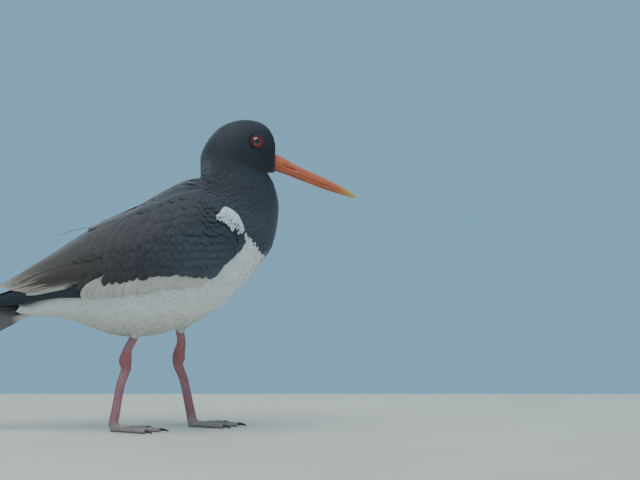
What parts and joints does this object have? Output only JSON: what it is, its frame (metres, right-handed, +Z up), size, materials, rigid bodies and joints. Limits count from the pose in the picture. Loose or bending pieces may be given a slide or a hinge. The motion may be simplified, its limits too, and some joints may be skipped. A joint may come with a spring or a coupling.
{
  "type": "eurasian oystercatcher model",
  "caption": "Life-size standing oystercatcher, a stocky black and white shorebird with a long orange bill, folded wings and pink legs.",
  "frame": {"origin": "on the floor under the middle of the bird's bounding box", "axes": "+X towards the bill, +Y to the bird's left, +Z up"},
  "size_m": [0.3367, 0.1104, 0.2635],
  "materials": {
    "plumage_black": "sooty black feathers, faint blue gloss",
    "plumage_brown": "worn brownish black feathers with paler edges",
    "plumage_white": "soft white feathers",
    "bill": "orange-red horn, yellower at the tip",
    "leg_skin": "dull pink scaly skin",
    "claw": "blackish horn",
    "eye": "wet dark red iris and black pupil",
    "eye_ring": "bare orange-red skin"
  },
  "bodies": {
    "root": {"torso": "plumage_white", "neck": "plumage_black", "head": "plumage_black", "bill_upper": "bill", "bill_lower": "bill", "eye_right": "eye", "lid_right": "eye_ring", "eye_left": "eye", "lid_left": "eye_ring", "tail": "plumage_black", "wing_right": "plumage_brown", "wing_left": "plumage_brown", "thigh_right": "plumage_white", "shank_right": "leg_skin", "tarsus_right": "leg_skin", "foot_right": "leg_skin", "toe_inner_right": "leg_skin", "claw_inner_right": "claw", "toe_middle_right": "leg_skin", "claw_middle_right": "claw", "toe_outer_right": "leg_skin", "claw_outer_right": "claw", "thigh_left": "plumage_white", "shank_left": "leg_skin", "tarsus_left": "leg_skin", "foot_left": "leg_skin", "toe_inner_left": "leg_skin", "claw_inner_left": "claw", "toe_middle_left": "leg_skin", "claw_middle_left": "claw", "toe_outer_left": "leg_skin", "claw_outer_left": "claw"}
  },
  "joints": []
}
